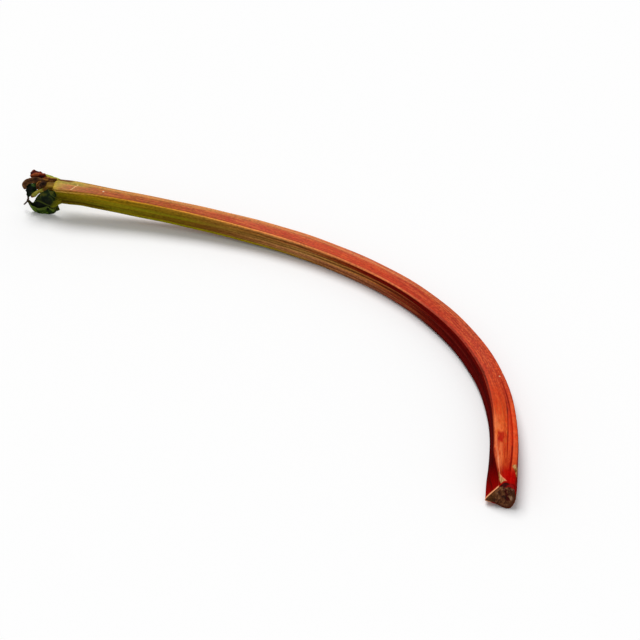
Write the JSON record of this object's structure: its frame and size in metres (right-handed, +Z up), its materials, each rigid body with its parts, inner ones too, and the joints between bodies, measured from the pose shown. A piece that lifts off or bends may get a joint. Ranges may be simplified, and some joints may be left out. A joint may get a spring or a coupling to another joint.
{
  "type": "rhubarb stalk",
  "caption": "Harvested rhubarb stalk lying down: a ribbed petiole in a sweeping curve, red at its torn base and green towards the withered leaf remnants at its tip.",
  "frame": {"origin": "middle of the footprint, on the surface that the stalk lies on", "axes": "+X from the leaf end towards the base end, along the line between them; +Z up from the surface; the stalk bows out towards +Y"},
  "size_m": [0.564, 0.1594, 0.0377],
  "materials": {
    "petiole_skin": "satin plant skin, ribbed lengthways, red at the base to olive green at the leaf end",
    "young_vein": "satin yellow-green leaf vein",
    "dried_tissue": "matt, dried and wrinkled brown plant tissue",
    "leaf_green": "satin, crumpled dark green leaf blade"
  },
  "bodies": {
    "root": {"petiole": "petiole_skin", "midrib_stub": "young_vein", "far_vein_stub": "young_vein", "near_vein_stub": "young_vein", "rolled_blade": "dried_tissue", "withered_tip": "dried_tissue", "arched_blade": "dried_tissue", "dry_twig": "dried_tissue", "lower_blade": "leaf_green"}
  },
  "joints": []
}
